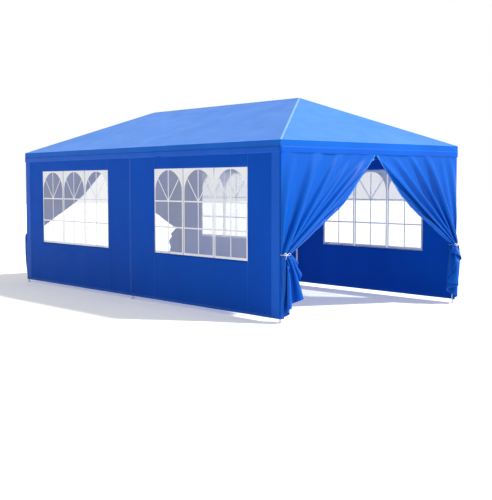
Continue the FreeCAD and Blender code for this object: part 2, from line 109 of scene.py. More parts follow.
def vary_colour(tree, shader, noise, dark, light):
    """The base colour drifts between two shades over a noise."""
    ramp = tree.nodes.new("ShaderNodeValToRGB")
    ramp.color_ramp.elements[0].position = 0.3
    ramp.color_ramp.elements[0].color = (*dark, 1)
    ramp.color_ramp.elements[1].position = 0.7
    ramp.color_ramp.elements[1].color = (*light, 1)
    tree.links.new(noise.outputs["Fac"], ramp.inputs["Fac"])
    tree.links.new(ramp.outputs["Color"], shader.inputs["Base Color"])


def vary_roughness(tree, shader, noise, low, high):
    """The roughness drifts between two values over a noise."""
    spread = tree.nodes.new("ShaderNodeMapRange")
    spread.inputs["To Min"].default_value = low
    spread.inputs["To Max"].default_value = high
    tree.links.new(noise.outputs["Fac"], spread.inputs["Value"])
    tree.links.new(spread.outputs["Result"], shader.inputs["Roughness"])


WAVE_RADIANS = 20  # a wave texture's radians per metre at a scale of 1


def weave_height(tree, pitch):
    """The height of flat tapes woven over and under each other, on all three planes."""
    place = tree.nodes.new("ShaderNodeTexCoord")
    total = None
    for direction in ("X", "Y", "Z"):
        wave = tree.nodes.new("ShaderNodeTexWave")
        wave.wave_type = "BANDS"
        wave.bands_direction = direction
        wave.inputs["Scale"].default_value = 1 / pitch / WAVE_RADIANS * math.pi
        wave.inputs["Distortion"].default_value = 0.4
        wave.inputs["Detail"].default_value = 1
        tree.links.new(place.outputs["Object"], wave.inputs["Vector"])
        if total is None:
            total = wave.outputs["Fac"]
            continue
        add = tree.nodes.new("ShaderNodeMath")
        add.operation = "ADD"
        tree.links.new(total, add.inputs[0])
        tree.links.new(wave.outputs["Fac"], add.inputs[1])
        total = add.outputs[0]
    return total


def add_bump(tree, shader, layers):
    """Bump from (height socket, strength, distance) layers, one feeding the next."""
    before = None
    for height, strength, distance in layers:
        bump = tree.nodes.new("ShaderNodeBump")
        bump.inputs["Strength"].default_value = strength
        bump.inputs["Distance"].default_value = distance
        tree.links.new(height, bump.inputs["Height"])
        if before is not None:
            tree.links.new(before.outputs["Normal"], bump.inputs["Normal"])
        before = bump
    tree.links.new(before.outputs["Normal"], shader.inputs["Normal"])


def tarpaulin(name, dark, light, roughness, specular):
    """Woven polyethylene sheeting: a fine tape weave, soft creases and an uneven low gloss."""
    material, tree, shader = principled(name, light, roughness, Specular_IOR_Level=specular)
    cloudy = object_noise(tree, 1.6, 4, (1, 1, 0.5))
    vary_colour(tree, shader, cloudy, dark, light)
    creases = object_noise(tree, 9, 6, (0.5, 0.5, 1.4))
    vary_roughness(tree, shader, creases, roughness - 0.08, roughness + 0.14)
    add_bump(tree, shader, [(creases.outputs["Fac"], 0.22, 0.004),
                            (weave_height(tree, 0.003), 0.25, 0.0003)])
    return material


def powder_coat(name, colour, roughness):
    """White powder coat: faint orange peel and slightly uneven gloss."""
    material, tree, shader = principled(name, colour, roughness, Coat_Weight=0.25,
                                        Coat_Roughness=0.15)
    vary_colour(tree, shader, object_noise(tree, 6, 3), tuple(c * 0.93 for c in colour), colour)
    peel = object_noise(tree, 900, 2)
    vary_roughness(tree, shader, peel, roughness - 0.05, roughness + 0.08)
    add_bump(tree, shader, [(peel.outputs["Fac"], 0.12, 0.0002)])
    return material


def plated(name, colour, roughness):
    """Plated metal with fine scratches along one way."""
    material, tree, shader = principled(name, colour, roughness, Metallic=1.0)
    scratches = object_noise(tree, 400, 4, (1, 1, 12))
    vary_colour(tree, shader, scratches, tuple(c * 0.85 for c in colour), colour)
    vary_roughness(tree, shader, scratches, roughness - 0.06, roughness + 0.12)
    add_bump(tree, shader, [(scratches.outputs["Fac"], 0.1, 0.0001)])
    return material


def printed_white(name):
    """White ink printed on the clear film, slightly glossy."""
    material, tree, shader = principled(name, (0.83, 0.84, 0.86), 0.35)
    mottle = object_noise(tree, 30, 3)
    vary_colour(tree, shader, mottle, (0.78, 0.79, 0.81), (0.86, 0.87, 0.89))
    add_bump(tree, shader, [(mottle.outputs["Fac"], 0.08, 0.001)])
    return material


def clear_film(name):
    """Soft clear sheet with a milky haze and a wavy gloss."""
    material, tree, shader = principled(name, (0.75, 0.80, 0.88), 0.12, Alpha=0.36)
    ripples = object_noise(tree, 5, 3, (1, 1, 0.5))
    vary_colour(tree, shader, ripples, (0.70, 0.75, 0.84), (0.80, 0.85, 0.92))
    vary_roughness(tree, shader, ripples, 0.08, 0.2)
    add_bump(tree, shader, [(ripples.outputs["Fac"], 0.25, 0.006)])
    return material


def braided(name):
    """White braided cord."""
    material, tree, shader = principled(name, (0.85, 0.85, 0.86), 0.7, Sheen_Weight=0.3)
    twist = object_noise(tree, 500, 2, (1, 1, 0.4))
    vary_colour(tree, shader, twist, (0.72, 0.72, 0.74), (0.9, 0.9, 0.91))
    add_bump(tree, shader, [(twist.outputs["Fac"], 0.5, 0.001)])
    return material


# Name, the two shades that the colour drifts between, roughness and specular level.
# The roof slopes get a lighter, paler blue than the valance and walls of the same sheeting: painted
# sunlight and sheen on the upward faces.
ROOF = tarpaulin("roof_tarpaulin_painted_sunlight", (0.030, 0.195, 0.68), (0.040, 0.220, 0.74), 0.42, 0.20)
VALANCE = tarpaulin("valance_tarpaulin", (0.005, 0.105, 0.50), (0.008, 0.120, 0.56), 0.44, 0.06)
WALL = tarpaulin("wall_tarpaulin", (0.0002, 0.062, 0.42), (0.0005, 0.074, 0.47), 0.46, 0.04)
# A lighter, greener copy of the wall cloth for the door curtains: painted light for their sunlit
# folds.
DOOR = tarpaulin("door_tarpaulin_painted_light", (0.0008, 0.082, 0.45), (0.0015, 0.096, 0.50), 0.42, 0.14)
TAPE = tarpaulin("seam_tape", (0.0005, 0.078, 0.46), (0.001, 0.090, 0.52), 0.44, 0.12)
# A lighter copy of the wall cloth for the corner flaps, where the cloth rounds the leg: painted
# light. The valance hem uses the same shade.
FLAP = tarpaulin("corner_tarpaulin_painted_light", (0.0005, 0.084, 0.50), (0.001, 0.098, 0.55), 0.44, 0.12)
# The tape down each door's free edge is lighter and glossier than the door cloth: its lighter blue
# is a painted highlight along the edge.
EDGE = tarpaulin("door_edge_tape_painted_highlight", (0.020, 0.200, 0.66), (0.030, 0.230, 0.72), 0.40, 0.30)
# Pale blue on the hip and ridge tapes: a painted highlight where the roof cloth bends over the hips
# and ridge.
PAINTED_HIGHLIGHT_TAPE = tarpaulin("hip_tape_painted_highlight", (0.120, 0.360, 0.80), (0.150, 0.400, 0.86), 0.36, 0.40)
TUBE = powder_coat("white_powder_coat", (0.84, 0.85, 0.86), 0.3)
SLEEVE = powder_coat("sleeve_powder_coat", (0.80, 0.81, 0.82), 0.36)
PLATED = plated("plated_steel", (0.68, 0.69, 0.71), 0.28)
INK = printed_white("window_ink")
FILM = clear_film("window_film")
CORD = braided("white_cord")

NODE_MATERIALS = {
    "upper_leg": TUBE, "lower_leg": TUBE, "eave_tube": TUBE, "hip_rafter": TUBE,
    "middle_rafter": TUBE, "ridge_tube": TUBE, "corner_connector": SLEEVE,
    "side_connector": SLEEVE, "peak_hub": SLEEVE, "foot_plate": SLEEVE, "leg_button": PLATED,
    "zip_slider": PLATED, "zip_pull": PLATED,
}
for node_name, node in frame["nodes"].items():
    for start, material in NODE_MATERIALS.items():
        if node_name.startswith(start):
            node.data.materials.clear()
            node.data.materials.append(material)


# ---------------------------------------------------------------- mesh helpers

MERGE_DISTANCE = 0.0002


def mesh_piece(name, points, faces, material, slot, thickness=CLOTH, sharp=50):
    """A mesh piece that rides on the frame, given a thickness by a Solidify modifier.

    Edges that turn by more than sharp degrees stay crisp.
    """
    mesh = bpy.data.meshes.new(name)
    mesh.from_pydata([tuple(point) for point in points], [], faces)
    work = bmesh.new()
    work.from_mesh(mesh)
    loose = [vertex for vertex in work.verts if not vertex.link_faces]
    bmesh.ops.delete(work, geom=loose, context="VERTS")
    bmesh.ops.remove_doubles(work, verts=work.verts, dist=MERGE_DISTANCE)
    bmesh.ops.recalc_face_normals(work, faces=work.faces)
    work.to_mesh(mesh)
    work.free()
    mesh.materials.append(material)
    mesh.shade_smooth()
    mesh.set_sharp_from_angle(angle=math.radians(sharp))
    piece = bpy.data.objects.new(name, mesh)
    bpy.context.scene.collection.objects.link(piece)
    if thickness:
        solid = piece.modifiers.new("thickness", "SOLIDIFY")
        solid.thickness = thickness
        solid.offset = 0
    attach(piece, BODY)
    return piece


def plane_grid(xs, zs, place, keep=None):
    """Points and quads over given columns and rows, without the quads that keep refuses."""
    points = [place(x, z) for z in zs for x in xs]
    faces = []
    for j in range(len(zs) - 1):
        for i in range(len(xs) - 1):
            if keep is None or keep((xs[i] + xs[i + 1]) / 2, (zs[j] + zs[j + 1]) / 2):
                corner = j * len(xs) + i
                faces.append((corner, corner + 1, corner + len(xs) + 1, corner + len(xs)))
    return points, faces


def grid(across, down, place):
    """Points and quads of an even grid. place(u, v) gives a point, u and v from 0 to 1."""
    return plane_grid([i / across for i in range(across + 1)], [j / down for j in range(down + 1)],
                      place)


def joined(grids):
    """Several (points, faces) put into one list each."""
    points = []
    faces = []
    for more_points, more_faces in grids:
        base = len(points)
        points.extend(more_points)
        faces.extend(tuple(index + base for index in face) for face in more_faces)
    return points, faces


def smooth(value, low, high):
    """A soft step from 0 at low to 1 at high."""
    share = min(max((value - low) / (high - low), 0), 1)
    return share * share * (3 - 2 * share)


def bell(value, middle, width):
    """A rounded bump of height 1."""
    return math.exp(-((value - middle) / width) ** 2)


# ---------------------------------------------------------------- roof cover

def distance_to_line(x, y, start, end):
    """Distance in plan from a point to a straight support."""
    ax, ay = start
    bx, by = end
    share = ((x - ax) * (bx - ax) + (y - ay) * (by - ay)) / ((bx - ax) ** 2 + (by - ay) ** 2)
    share = min(max(share, 0), 1)
    return math.hypot(x - ax - share * (bx - ax), y - ay - share * (by - ay))


ROOF_SAG = 0.016
SAG_REACH = 0.45
PULL_HEIGHT = 0.0035
PULL_START = 0.25
ROOF_CREASE = 28
ROOF_ROWS = 50
VALANCE_ROWS = 10
SUPPORTS = (((HALF_LENGTH, HALF_WIDTH), (HALF_RIDGE, 0)), ((0, HALF_WIDTH), (HALF_RIDGE, 0)),
            ((0, 0), (HALF_RIDGE, 0)), ((0, HALF_WIDTH), (HALF_LENGTH, HALF_WIDTH)),
            ((HALF_LENGTH, 0), (HALF_LENGTH, HALF_WIDTH)))


def roof_height(x, y):
    """The roof cloth's height: flat slopes that sag a little between the tubes under them."""
    x = abs(x)
    y = abs(y)
    slope_side = EAVE + (HALF_WIDTH - y) * (PEAK - EAVE) / HALF_WIDTH
    slope_end = EAVE + (HALF_LENGTH - x) * (PEAK - EAVE) / (HALF_LENGTH - HALF_RIDGE)
    ideal = min(slope_side, slope_end)
    nearest = min(distance_to_line(x, y, *line) for line in SUPPORTS)
    sag = ROOF_SAG * (1 - math.exp(-(nearest / SAG_REACH) ** 2))
    drawn = math.sin(9 * (y + 0.16 * x) + 1.3) * math.sin(2.1 * x + 0.6)
    pulls = PULL_HEIGHT * drawn * smooth(nearest, 0, PULL_START)
    return ideal - sag + pulls


def roof_point(x, y):
    """The point of the roof cloth over a place in plan."""
    return Vector((x, y, roof_height(x, y)))


def slope_grid(corner_a, corner_b, top_a, top_b, across):
    """One roof slope, from its eave up to the ridge or peak."""
    def place(u, v):
        low = corner_a.lerp(corner_b, u)
        high = top_a.lerp(top_b, u)
        spot = low.lerp(high, v)
        return roof_point(spot.x, spot.y)
    return grid(across, ROOF_ROWS, place)


VALANCE_WAVE = 0.006
VALANCE_LIFT = 0.0015


def valance_point(start, end, outward, u, v, proud=0.0):
    """A point on the hanging valance: u along the eave, v from the eave down."""
    spot = start.lerp(end, u)
    run = (end - start).length * u
    held = smooth(u, 0, 0.03) * smooth(1 - u, 0, 0.03)
    wave = math.sin(run * 5.3 + 0.8) + 0.6 * math.sin(run * 11.7 + 2.0) + 0.3 * math.sin(run * 23.0)
    push = -VALANCE_WAVE * v * (0.6 + 0.4 * wave) * held + proud
    return Vector((spot.x + outward[0] * push, spot.y + outward[1] * push,
                   EAVE - v * VALANCE_DROP + VALANCE_LIFT * wave * v * held))


CORNERS = [Vector((-HALF_LENGTH, -HALF_WIDTH)), Vector((HALF_LENGTH, -HALF_WIDTH)),
           Vector((HALF_LENGTH, HALF_WIDTH)), Vector((-HALF_LENGTH, HALF_WIDTH))]
PEAKS = [Vector((-HALF_RIDGE, 0)), Vector((HALF_RIDGE, 0)), Vector((HALF_RIDGE, 0)),
         Vector((-HALF_RIDGE, 0))]
OUTWARD = [(0, -1), (1, 0), (0, 1), (-1, 0)]
ACROSS = [180, 100, 180, 100]
HIP_TAPE = 0.014
HIP_TAPE_PROUD = 0.0016
HEM_START = 0.47
HEM_PROUD = 0.0018
SLOPE_NORMAL = 0.3  # a face whose normal rises less than this is on the valance


def valance_grid(index, rows, place):
    """A grid on one side's valance. place(v) gives the share of the drop and how proud it is."""
    start = CORNERS[index]
    end = CORNERS[(index + 1) % 4]
    return grid(ACROSS[index], rows,
                lambda u, v: valance_point(start, end, OUTWARD[index], u, *place(v)))


def roof_cover():
    """The whole cover as one sheet: four slopes and the valance."""
    grids = []
    for index in range(4):
        after = (index + 1) % 4
        grids.append(slope_grid(CORNERS[index], CORNERS[after], PEAKS[index], PEAKS[after],
                                ACROSS[index]))
        grids.append(valance_grid(index, VALANCE_ROWS, lambda v: (v, 0)))
    piece = mesh_piece("roof_cloth", *joined(grids), ROOF, "roof_fabric", sharp=ROOF_CREASE)
    piece.data.materials.append(VALANCE)
    # Faces that look up keep the lighter roof shade and the hanging faces get the valance shade:
    # painted sunlight on the slopes of the one cloth.
    for face in piece.data.polygons:
        face.material_index = int(abs(face.normal.z) < SLOPE_NORMAL)
    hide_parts("roof_cover")
    return piece


def hip_tapes():
    """The tape welded over each hip and the ridge, its pale colour a painted highlight where the
    cloth bends over the tubes.
    """
    grids = []
    for start, end in [*zip(CORNERS, PEAKS), (PEAKS[0], PEAKS[1])]:
        side = (end - start).normalized().orthogonal() * HIP_TAPE

        def place(u, v, start=start, end=end, side=side):
            spot = start.lerp(end, v) + side * (2 * u - 1)
            x = min(max(spot.x, -HALF_LENGTH), HALF_LENGTH)
            y = min(max(spot.y, -HALF_WIDTH), HALF_WIDTH)
            return roof_point(x, y) + Vector((0, 0, HIP_TAPE_PROUD))
        grids.append(grid(4, 70, place))
    return mesh_piece("roof_hip_tapes", *joined(grids), PAINTED_HIGHLIGHT_TAPE, "roof_fabric",
                      sharp=ROOF_CREASE)


def valance_hem():
    """The doubled hem along the lower half of the valance."""
    grids = [valance_grid(index, 4, lambda v: (HEM_START + (1 - HEM_START) * v, HEM_PROUD))
             for index in range(4)]
    return mesh_piece("roof_valance_hem", *joined(grids), FLAP, "roof_fabric", sharp=ROOF_CREASE)


roof = roof_cover()
trims = [hip_tapes(), valance_hem()]


# ---------------------------------------------------------------- window walls

WALL_PLANE = abs(wall_low.y + wall_high.y) / 2
WALL_TOP = wall_high.z
WALL_BOTTOM = wall_low.z
WALL_START = wall_low.x
WALL_END = wall_high.x
WINDOW_LOW = film_low.z
WINDOW_HIGH = film_high.z
WINDOW_START = WINDOW_MIDDLE - WINDOW_WIDTH / 2
WINDOW_END = WINDOW_MIDDLE + WINDOW_WIDTH / 2
WALL_RIPPLE = 0.004
WALL_HANG = 0.006


def wall_bulge(x, z):
    """How far a wall's cloth stands out of its plane; 0 along its top and its ends."""
    along = (x - WALL_START) / (WALL_END - WALL_START)
    up = (z - WALL_BOTTOM) / (WALL_TOP - WALL_BOTTOM)
    hang = math.sin(math.pi * along) * (1 - up)
    soft = math.sin(7.1 * x + 1.1 * z + 0.5) + 0.6 * math.sin(12.3 * x - 2.2 * z)
    window_height = (WINDOW_LOW + WINDOW_HIGH) / 2
    around_window = 1 - 0.75 * bell(x, WINDOW_MIDDLE, 0.75) * bell(z, window_height, 0.6)
    bulge = WALL_RIPPLE * soft * (1 - up) ** 0.6 * around_window - WALL_HANG * hang
    return bulge * smooth(along, 0, 0.04) * smooth(1 - along, 0, 0.04)


def wall_point(side, end, x, z, proud=0.0):
    """A point on a bay's wall. x runs from the middle leg to the corner leg."""
    out = WALL_PLANE + wall_bulge(x, z) * 0.5 + proud
    return Vector((ENDS[end] * x, SIDES[side] * out, z))


def steps_through(stops, pitch):
    """Values through all the stops, evenly spaced between them."""
    values = [stops[0]]
    for low, high in zip(stops, stops[1:]):
        count = max(1, round((high - low) / pitch))
        values.extend(low + (high - low) * (k + 1) / count for k in range(count))
    return values


def in_window(x, z):
    """Whether a place on a wall is in its window's opening."""
    return WINDOW_START < x < WINDOW_END and WINDOW_LOW < z < WINDOW_HIGH


SEAM = 0.012
HEM = 0.035
BINDING = 0.02
SEAM_PROUD = 0.0014
WIDE = 0.1
WIDE_PITCH = 0.04


def wall_strip(side, end, x_low, x_high, z_low, z_high):
    """A band sewn on a wall: a seam, hem or binding."""
    xs = steps_through([x_low, x_high], WIDE_PITCH if x_high - x_low > WIDE else 0.008)
    zs = steps_through([z_low, z_high], WIDE_PITCH if z_high - z_low > WIDE else 0.012)
    return plane_grid(xs, zs, lambda x, z: wall_point(side, end, x, z, SEAM_PROUD))


def window_wall(side, end):
    """One bay's wall with its window opening, hem, seams and binding."""
    xs = steps_through([WALL_START, WINDOW_START, WINDOW_END, WALL_END], 0.025)
    zs = steps_through([WALL_BOTTOM, WINDOW_LOW, WINDOW_HIGH, WALL_TOP], 0.03)
    cloth = mesh_piece(f"window_wall_cloth_{side}_{end}", *plane_grid(
        xs, zs, lambda x, z: wall_point(side, end, x, z), lambda x, z: not in_window(x, z)),
        WALL, "wall_fabric")
    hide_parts(f"window_wall_{side}_{end}")
    above_hem = WALL_BOTTOM + HEM
    grids = [wall_strip(side, end, WALL_START, WALL_END, WALL_BOTTOM, above_hem)]
    for start, width in ((WINDOW_START - SEAM, SEAM), (WINDOW_END, SEAM), (WALL_START, BINDING)):
        grids.append(wall_strip(side, end, start, start + width, above_hem, WALL_TOP))
    tapes = mesh_piece(f"wall_seams_{side}_{end}", *joined(grids), TAPE, "wall_fabric")


FILM_LAP = 0.012
FILM_BEHIND = 0.0012
FILM_PITCH = 0.03


def window_film(side, end):
    """The clear film, lapped behind the wall's cloth round the opening."""
    xs = steps_through([WINDOW_START - FILM_LAP, WINDOW_END + FILM_LAP], FILM_PITCH)
    zs = steps_through([WINDOW_LOW - FILM_LAP, WINDOW_HIGH + FILM_LAP], FILM_PITCH)
    film = mesh_piece(f"window_film_sheet_{side}_{end}", *plane_grid(
        xs, zs, lambda x, z: wall_point(side, end, x, z, -FILM_BEHIND)),
        FILM, "window_film", thickness=0)
    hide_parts("window_films")


# The printed pattern. Heights are shares of one light's height, from its sill.
LIGHTS = 3
RAIL = 0.028
STILE = 0.75 * RAIL
CROWN_RAIL = 0.018
MUNTIN = 0.017
MULLION_GAP = 0.012
ARCH_SPRING = 0.74
FIRST_BAR = 0.62
SECOND_BAR = 0.30
FAN_TOP = 0.89
FAN_REACH = 0.36
FAN_BAR = 0.85 * MUNTIN
BAR_OVERRUN = 0.005
BAR_END = RAIL * 0.5
INK_PROUD = 0.0004
BAR_PROUD = 0.0006
BAR_STEP = 0.0001


def arch_outline(x_low, x_high, z_low, z_high, steps=22):
    """The outline of one light: straight sides and a horseshoe top, narrowed towards its crown."""
    middle = (x_low + x_high) / 2
    half = (x_high - x_low) / 2
    spring = z_low + (z_high - z_low) * ARCH_SPRING
    points = [(x_low, z_low), (x_high, z_low)]
    for k in range(steps + 1):
        turn = math.pi * k / steps
        points.append((middle + half * math.cos(turn) * (1 - 0.06 * math.sin(turn) ** 2),
                       spring + (z_high - spring) * math.sin(turn)))
    return points


def bar(x_a, z_a, x_b, z_b, width):
    """A straight printed bar between two points, as four corners."""
    along = Vector((x_b - x_a, z_b - z_a)).normalized() * width / 2
    side = (-along.y, along.x)
    return [(x_a + side[0], z_a + side[1]), (x_a - side[0], z_a - side[1]),
            (x_b - side[0], z_b - side[1]), (x_b + side[0], z_b + side[1])]


def light_shapes(x_low, x_high):
    """The printed pattern of one light: its spandrels and rails, then its bars."""
    z_low = WINDOW_LOW + RAIL
    z_high = WINDOW_HIGH - CROWN_RAIL
    outer = [(x_low, WINDOW_LOW), (x_high, WINDOW_LOW), (x_high, WINDOW_HIGH),
             (x_low, WINDOW_HIGH)]
    inner = arch_outline(x_low + STILE, x_high - STILE, z_low, z_high)
    middle = (x_low + x_high) / 2
    height = z_high - z_low
    first = z_low + FIRST_BAR * height
    second = z_low + SECOND_BAR * height
    left = x_low + BAR_END
    right = x_high - BAR_END
    fan = z_low + FAN_TOP * height
    reach = (x_high - x_low) * FAN_REACH
    bars = [bar(middle, z_low - BAR_OVERRUN, middle, z_high + BAR_OVERRUN, MUNTIN),
            bar(left, first, right, first, MUNTIN), bar(left, second, right, second, MUNTIN),
            bar(middle, first, middle - reach, fan, FAN_BAR),
            bar(middle, first, middle + reach, fan, FAN_BAR)]
    return [outer, inner], bars


def filled_shape(side, end, loops, proud):
    """A flat shape filled between its outlines and wrapped onto the film's surface."""
    curve = bpy.data.curves.new("printed_shape", "CURVE")
    curve.dimensions = "2D"
    curve.fill_mode = "BOTH"
    for loop in loops:
        spline = curve.splines.new("POLY")
        spline.points.add(len(loop) - 1)
        for point, (x, z) in zip(spline.points, loop):
            point.co = (x, z, 0, 1)
        spline.use_cyclic_u = True
    holder = bpy.data.objects.new("printed_shape", curve)
    flat = bpy.data.meshes.new_from_object(holder)
    points = [wall_point(side, end, v.co.x, v.co.y, proud) for v in flat.vertices]
    faces = [tuple(polygon.vertices) for polygon in flat.polygons]
    bpy.data.meshes.remove(flat)
    bpy.data.objects.remove(holder)
    bpy.data.curves.remove(curve)
    return points, faces


def printed_bars(side, end):
    """The white pattern printed on a window."""
    pitch = WINDOW_WIDTH / LIGHTS
    shapes = []
    for light in range(LIGHTS):
        x_low = WINDOW_START + light * pitch + (MULLION_GAP / 2 if light else 0)
        x_high = WINDOW_START + (light + 1) * pitch - (MULLION_GAP / 2 if light < LIGHTS - 1 else 0)
        surround, bars = light_shapes(x_low, x_high)
        shapes.append((surround, INK_PROUD))
        shapes.extend(([corners], BAR_PROUD + BAR_STEP * k) for k, corners in enumerate(bars))
    grids = [filled_shape(side, end, loops, proud) for loops, proud in shapes]
    mesh_piece(f"window_bars_{side}_{end}", *joined(grids), INK, "window_film", thickness=0)


for side in SIDES:
    for end in ENDS:
        window_wall(side, end)
        window_film(side, end)
        printed_bars(side, end)


# ---------------------------------------------------------------- corner flaps

FLAP_LONG_WIDTH = 0.125
FLAP_TOP_WIDTH = 0.115
FLAP_LOW_WIDTH = 0.035
FLAP_TAPER = 0.55  # the share of the height, from the top, over which it narrows
FLAP_ROUND = 0.022
FLAP_INSET = 0.003
FLAP_CLOTH = 0.001


def corner_flap(end, side):
    """The wall's end wrapped round the corner leg, narrower towards the ground."""
    def place(u, v):
        z = WALL_TOP + (WALL_BOTTOM - WALL_TOP) * v
        end_side = FLAP_TOP_WIDTH + (FLAP_LOW_WIDTH - FLAP_TOP_WIDTH) * smooth(v, 0, FLAP_TAPER)
        quarter = FLAP_ROUND * math.pi / 2
        run = u * (FLAP_LONG_WIDTH + quarter + end_side)
        face_x = HALF_LENGTH - FLAP_INSET
        face_y = HALF_WIDTH - FLAP_INSET
        if run < FLAP_LONG_WIDTH:
            x = face_x - FLAP_ROUND - FLAP_LONG_WIDTH + run
            y = face_y
        elif run < FLAP_LONG_WIDTH + quarter:
            turn = (run - FLAP_LONG_WIDTH) / FLAP_ROUND
            x = face_x - FLAP_ROUND + FLAP_ROUND * math.sin(turn)
            y = face_y - FLAP_ROUND + FLAP_ROUND * math.cos(turn)
        else:
            x = face_x
            y = face_y - FLAP_ROUND - (run - FLAP_LONG_WIDTH - quarter)
        return Vector((ENDS[end] * x, SIDES[side] * y, z))
    mesh_piece(f"corner_flap_{end}_{side}", *grid(36, 60, place), FLAP, "wall_fabric", FLAP_CLOTH)


for end in ENDS:
    for side in SIDES:
        corner_flap(end, side)


# ---------------------------------------------------------------- door curtains

DOOR_TOP = curtain_high.z
DOOR_BOTTOM = curtain_low.z
DOOR_FACE = curtain_low.x + 0.001
DOOR_WIDTH = -curtain_low.y - 0.003
DOOR_DROP = DOOR_TOP - DOOR_BOTTOM
DOOR_LEG_SIDE = curtain_low.y
BILLOW = 0.030
NECK_START = -LEG_Y - LEG_RADIUS + 0.002
NECK_WIDTH = 0.084
NECK_DEPTH = 0.050
NECK_PLEATS = 3
NECK_MARGIN = 0.003
EDGE_LIFT = 0.022
EDGE_LIFT_START = 0.2
SKIRT_FOLD = 0.5
SKIRT_FOOT = Vector((DOOR_FACE + 0.045, NECK_START + 0.215, 0.285))
SKIRT_REACH = 0.20
FLAT_ROWS_DOWN_TO = VALANCE_BOTTOM + 0.012
COLUMNS = 62
ROWS = 80
EDGE_THICKNESS = 0.0034
TIE_FRAMES = 42
SETTLE_FRAMES = 42

# The free edge when tied back, in the plane of the door, from the rail to the tie.
FREE_EDGE = ((-0.003, DOOR_TOP), (-0.003, VALANCE_BOTTOM), (-0.478, 1.338), (-1.014, 1.005),
             (-1.330, 0.850), (NECK_START + NECK_WIDTH, TIE_HEIGHT))


def along_free_edge(distance):
    """The point of the tied-back free edge that is a given length of cloth below the rail."""
    left = distance
    for (y_a, z_a), (y_b, z_b) in zip(FREE_EDGE, FREE_EDGE[1:]):
        length = math.hypot(y_b - y_a, z_b - z_a)
        if left <= length:
            share = left / length
            return y_a + (y_b - y_a) * share, z_a + (z_b - z_a) * share
        left -= length
    return FREE_EDGE[-1]


FREE_EDGE_LENGTH = sum(math.hypot(b[0] - a[0], b[1] - a[1])
                       for a, b in zip(FREE_EDGE, FREE_EDGE[1:]))
ROUNDED_FROM = 0.6
ROUNDING_REACH = 0.09


def smooth_free_edge(distance):
    """The same edge with its corners rounded, below the stretch that the zip runs on."""
    if distance < ROUNDED_FROM:
        return along_free_edge(distance)
    samples = [along_free_edge(min(distance + ROUNDING_REACH * k / 4, FREE_EDGE_LENGTH))
               for k in range(-4, 5)]
    return sum(y for y, _ in samples) / len(samples), sum(z for _, z in samples) / len(samples)


def flat_door(u, v, waves, phase):
    """The closed door half before it is tied back, with the faint billow that starts its folds."""
    billow = BILLOW * math.sin(math.pi * u) * min(1, 4 * v)
    out = billow * (1 + 0.8 * math.sin(2 * math.pi * waves * u + phase))
    return Vector((DOOR_FACE + out, DOOR_LEG_SIDE + u * DOOR_WIDTH, DOOR_TOP - v * DOOR_DROP))


def neck_point(u):
    """Where a thread of the cloth passes through the tie: pleats side by side."""
    pleat = 0.5 - 0.5 * math.cos(2 * math.pi * NECK_PLEATS * u)
    return Vector((DOOR_FACE + NECK_MARGIN + (NECK_DEPTH - 2 * NECK_MARGIN) * pleat,
                   NECK_START + NECK_WIDTH * u, TIE_HEIGHT))


DRAWN_IN = 0.96  # how much of the door's width is left between its folds on the way to the tie
FOLD_SLACK = 0.02
LOWEST_TIE = 0.03


def tie_row(column):
    """The row of the cloth that ends up in the tie: further down towards the free edge."""
    u = column / COLUMNS
    straight = math.hypot(u * DOOR_WIDTH * DRAWN_IN, DOOR_TOP - TIE_HEIGHT)
    path = straight * (1 + FOLD_SLACK * u)
    return round(min(path, FREE_EDGE_LENGTH, DOOR_DROP - LOWEST_TIE) / DOOR_DROP * ROWS)


def number(column, row):
    """A grid point's place in the list of points."""
    return row * (COLUMNS + 1) + column


def held_points():
    """Grid points that hands, rail, leg and tie hold, with the places they are taken to."""
    held = {}
    for column in range(COLUMNS + 1):
        for row in range(ROWS + 1):
            u = column / COLUMNS
            down = row / ROWS * DOOR_DROP
            flat = Vector((DOOR_FACE, DOOR_LEG_SIDE + u * DOOR_WIDTH, DOOR_TOP - down))
            if flat.z > FLAT_ROWS_DOWN_TO or column == 0:
                held[number(column, row)] = flat
    last_free = tie_row(COLUMNS)
    for row in range(last_free):
        down = row / ROWS * DOOR_DROP
        y, z = smooth_free_edge(down)
        share = smooth(down, EDGE_LIFT_START, FREE_EDGE_LENGTH)
        held[number(COLUMNS, row)] = Vector((DOOR_FACE + EDGE_LIFT * share, y, z))
    for column in range(COLUMNS + 1):
        held[number(column, tie_row(column))] = neck_point(column / COLUMNS)
    fold = round(SKIRT_FOLD * COLUMNS)
    top = tie_row(fold)
    for row in range(top + 4, ROWS + 1):
        share = (row - top) / (ROWS - top)
        held[number(fold, row)] = neck_point(SKIRT_FOLD).lerp(SKIRT_FOOT, share)
    return held


INSIDE_GAP = 0.005
BESIDE_GAP = 0.0055
JITTER = 0.0005


def collider(name, corners):
    """A hidden flat wall that the cloth can't pass during its simulation."""
    mesh = bpy.data.meshes.new(name)
    mesh.from_pydata(corners, [], [(0, 1, 2, 3)])
    wall = bpy.data.objects.new(name, mesh)
    bpy.context.scene.collection.objects.link(wall)
    wall.modifiers.new("collision", "COLLISION")
    wall.collision.thickness_outer = 0.002
    return wall


def door_colliders():
    """The walls inside the door, beside its leg and in front of its skirt, facing the cloth."""
    back = DOOR_FACE - INSIDE_GAP
    side = DOOR_LEG_SIDE - BESIDE_GAP
    front = DOOR_FACE + SKIRT_REACH
    return [
        collider("inside", [(back, -2, 0), (back, 1, 0), (back, 1, 3), (back, -2, 3)]),
        collider("beside", [(back, side, 0), (back, side, 3), (back + 1, side, 3),
                            (back + 1, side, 0)]),
        collider("before", [(front, -2, 0), (front, -2, 3), (front, 1, 3), (front, 1, 0)]),
    ]


